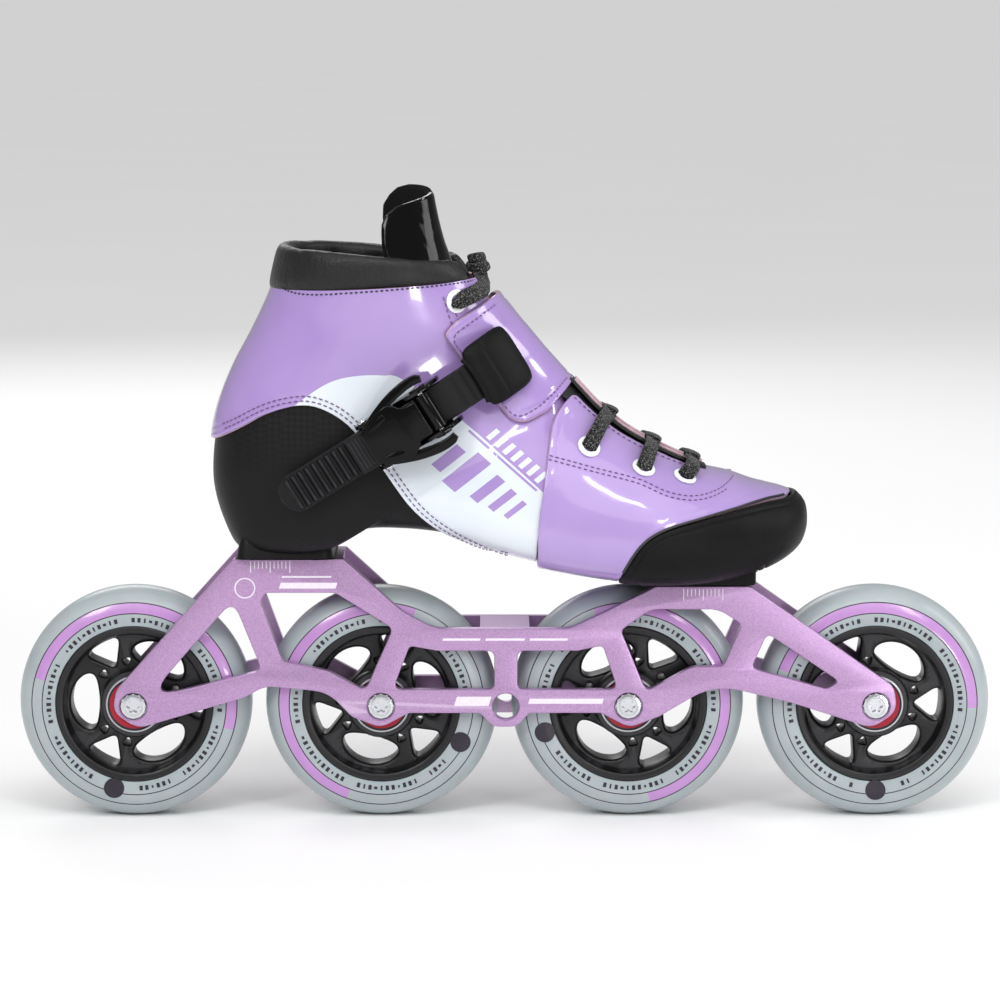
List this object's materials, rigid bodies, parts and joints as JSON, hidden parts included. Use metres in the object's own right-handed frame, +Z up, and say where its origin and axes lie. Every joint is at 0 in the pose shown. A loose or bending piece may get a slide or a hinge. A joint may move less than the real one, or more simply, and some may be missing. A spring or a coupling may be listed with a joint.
{
  "type": "inline skate",
  "caption": "Right-foot inline skate: padded lace-up boot with a sliding toe half and a ratchet strap, on a slim metal frame with in-line bearing wheels.",
  "frame": {"origin": "on the floor, midway between the first and the last axle, in the wheels' middle plane", "axes": "+X to the toe, -Y to the outer side of the foot, +Z up"},
  "size_m": [0.376, 0.0898, 0.2446],
  "materials": {
    "wheel_urethane": "satin, slightly translucent",
    "hub_plastic": "satin",
    "steel": "satin",
    "bearing_seal": "satin",
    "alloy": "satin",
    "frame": "metallic anodised",
    "heel_composite": "satin",
    "patent_upper": "patent gloss",
    "patent_vamp": "patent gloss",
    "collar_leather": "grained",
    "lining_fabric": "matte knit",
    "tongue_patent": "patent gloss",
    "lace_fabric": "matte weave",
    "moulded_rubber": "satin",
    "ladder_plastic": "satin",
    "buckle_plastic": "high gloss"
  },
  "bodies": {
    "skate": {"frame": "frame", "heel_shell": "heel_composite", "upper_quarter": "patent_upper", "padded_collar": "collar_leather", "inner_lining": "lining_fabric", "footbed": "lining_fabric", "tongue": "tongue_patent", "rear_lace": "lace_fabric", "instep_strap": "patent_upper", "buckle_base": "buckle_plastic", "lever_pin": "steel", "release_pin": "steel", "rear_mount_bolt": "steel", "rear_mount_washer": "steel", "rear_threaded_insert": "alloy", "wheel_1_axle": "steel", "wheel_1_spacer": "alloy", "wheel_1_outer_bearing_inner_race": "steel", "wheel_1_inner_bearing_inner_race": "steel", "wheel_2_axle": "steel", "wheel_2_spacer": "alloy", "wheel_2_outer_bearing_inner_race": "steel", "wheel_2_inner_bearing_inner_race": "steel", "wheel_3_axle": "steel", "wheel_3_spacer": "alloy", "wheel_3_outer_bearing_inner_race": "steel", "wheel_3_inner_bearing_inner_race": "steel", "wheel_4_axle": "steel", "wheel_4_spacer": "alloy", "wheel_4_outer_bearing_inner_race": "steel", "wheel_4_inner_bearing_inner_race": "steel"},
    "boot_front": {"vamp": "patent_vamp", "toe_cap": "moulded_rubber", "front_sole": "moulded_rubber", "front_lace": "lace_fabric", "front_mount_bolt": "steel", "front_mount_washer": "steel", "front_threaded_insert": "alloy"},
    "ladder": {"ladder_strap": "ladder_plastic", "strap_end_pad": "moulded_rubber"},
    "lever": {"ratchet_lever": "buckle_plastic", "drive_pawl": "steel", "pawl_spring": "steel"},
    "release": {"release_lever": "ladder_plastic"},
    "wheel_1": {"wheel_1_tyre": "wheel_urethane", "wheel_1_hub": "hub_plastic", "wheel_1_outer_bearing_race": "bearing_seal", "wheel_1_inner_bearing_race": "bearing_seal"},
    "wheel_2": {"wheel_2_tyre": "wheel_urethane", "wheel_2_hub": "hub_plastic", "wheel_2_outer_bearing_race": "bearing_seal", "wheel_2_inner_bearing_race": "bearing_seal"},
    "wheel_3": {"wheel_3_tyre": "wheel_urethane", "wheel_3_hub": "hub_plastic", "wheel_3_outer_bearing_race": "bearing_seal", "wheel_3_inner_bearing_race": "bearing_seal"},
    "wheel_4": {"wheel_4_tyre": "wheel_urethane", "wheel_4_hub": "hub_plastic", "wheel_4_outer_bearing_race": "bearing_seal", "wheel_4_inner_bearing_race": "bearing_seal"}
  },
  "joints": [
    {"name": "wheel_1_spin", "type": "hinge", "parent": "skate", "child": "wheel_1", "pos_m": [-0.143, 0, 0.045], "axis": [0, 1, 0], "continuous": true},
    {"name": "wheel_2_spin", "type": "hinge", "parent": "skate", "child": "wheel_2", "pos_m": [-0.04767, 0, 0.045], "axis": [0, 1, 0], "continuous": true},
    {"name": "wheel_3_spin", "type": "hinge", "parent": "skate", "child": "wheel_3", "pos_m": [0.04767, 0, 0.045], "axis": [0, 1, 0], "continuous": true},
    {"name": "wheel_4_spin", "type": "hinge", "parent": "skate", "child": "wheel_4", "pos_m": [0.143, 0, 0.045], "axis": [0, 1, 0], "continuous": true},
    {"name": "size_adjust", "type": "slide", "parent": "skate", "child": "boot_front", "axis": [1, 0, 0], "range_m": [0, 0.012]},
    {"name": "ladder_slide", "type": "slide", "parent": "skate", "child": "ladder", "axis": [0.848, 0, 0.5299], "range_m": [0, 0.008]},
    {"name": "ratchet_lever_hinge", "type": "hinge", "parent": "skate", "child": "lever", "pos_m": [-0.028, -0.0428, 0.1625], "axis": [-0.5299, 0, 0.848], "range_deg": [0, 60], "stiffness_Nm_per_rad": 0.02, "springref_deg": -17.19},
    {"name": "release_lever_hinge", "type": "hinge", "parent": "skate", "child": "release", "pos_m": [-0.04835, -0.0416, 0.14978], "axis": [-0.5299, 0, 0.848], "range_deg": [0, 12], "stiffness_Nm_per_rad": 0.02, "springref_deg": -17.19}
  ]
}
